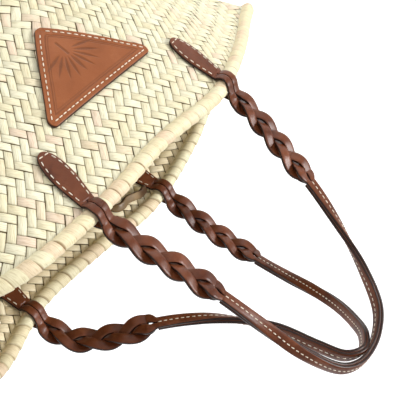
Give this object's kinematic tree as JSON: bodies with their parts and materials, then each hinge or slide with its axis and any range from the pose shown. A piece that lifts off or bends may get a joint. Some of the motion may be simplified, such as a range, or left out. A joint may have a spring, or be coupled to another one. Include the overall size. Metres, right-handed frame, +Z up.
{
  "type": "straw basket bag",
  "caption": "Plaited palm leaf basket bag with a rolled rim, braided brown leather handles and a stitched triangular leather patch.",
  "frame": {"origin": "middle of the flat base, on the surface that the bag stands on", "axes": "+X along the mouth to the bag's right end seen from the front, +Y to the back, +Z up; the patch faces -Y"},
  "size_m": [0.518, 0.1717, 0.5083],
  "materials": {
    "palm_leaf": "dry plaited leaf, satin",
    "rim_leaf": "dry wrapped leaf, satin",
    "handle_leather": "waxed, dark painted edges",
    "patch_leather": "waxed, embossed",
    "closing_leather": "waxed"
  },
  "bodies": {
    "root": {"basket_body": "palm_leaf", "rim_roll": "rim_leaf", "front_patch": "patch_leather", "closing_strap": "closing_leather", "front_handle_outer_strap": "handle_leather", "front_handle_inner_strap": "handle_leather", "front_handle_left_outer_tab": "handle_leather", "front_handle_left_inner_tab": "handle_leather", "front_handle_left_strand_1": "handle_leather", "front_handle_left_strand_2": "handle_leather", "front_handle_left_strand_3": "handle_leather", "front_handle_right_outer_tab": "handle_leather", "front_handle_right_inner_tab": "handle_leather", "front_handle_right_strand_1": "handle_leather", "front_handle_right_strand_2": "handle_leather", "front_handle_right_strand_3": "handle_leather", "back_handle_inner_strap": "handle_leather", "back_handle_outer_strap": "handle_leather", "back_handle_left_inner_tab": "handle_leather", "back_handle_left_outer_tab": "handle_leather", "back_handle_left_strand_1": "handle_leather", "back_handle_left_strand_2": "handle_leather", "back_handle_left_strand_3": "handle_leather", "back_handle_right_inner_tab": "handle_leather", "back_handle_right_outer_tab": "handle_leather", "back_handle_right_strand_1": "handle_leather", "back_handle_right_strand_2": "handle_leather", "back_handle_right_strand_3": "handle_leather"}
  },
  "joints": []
}
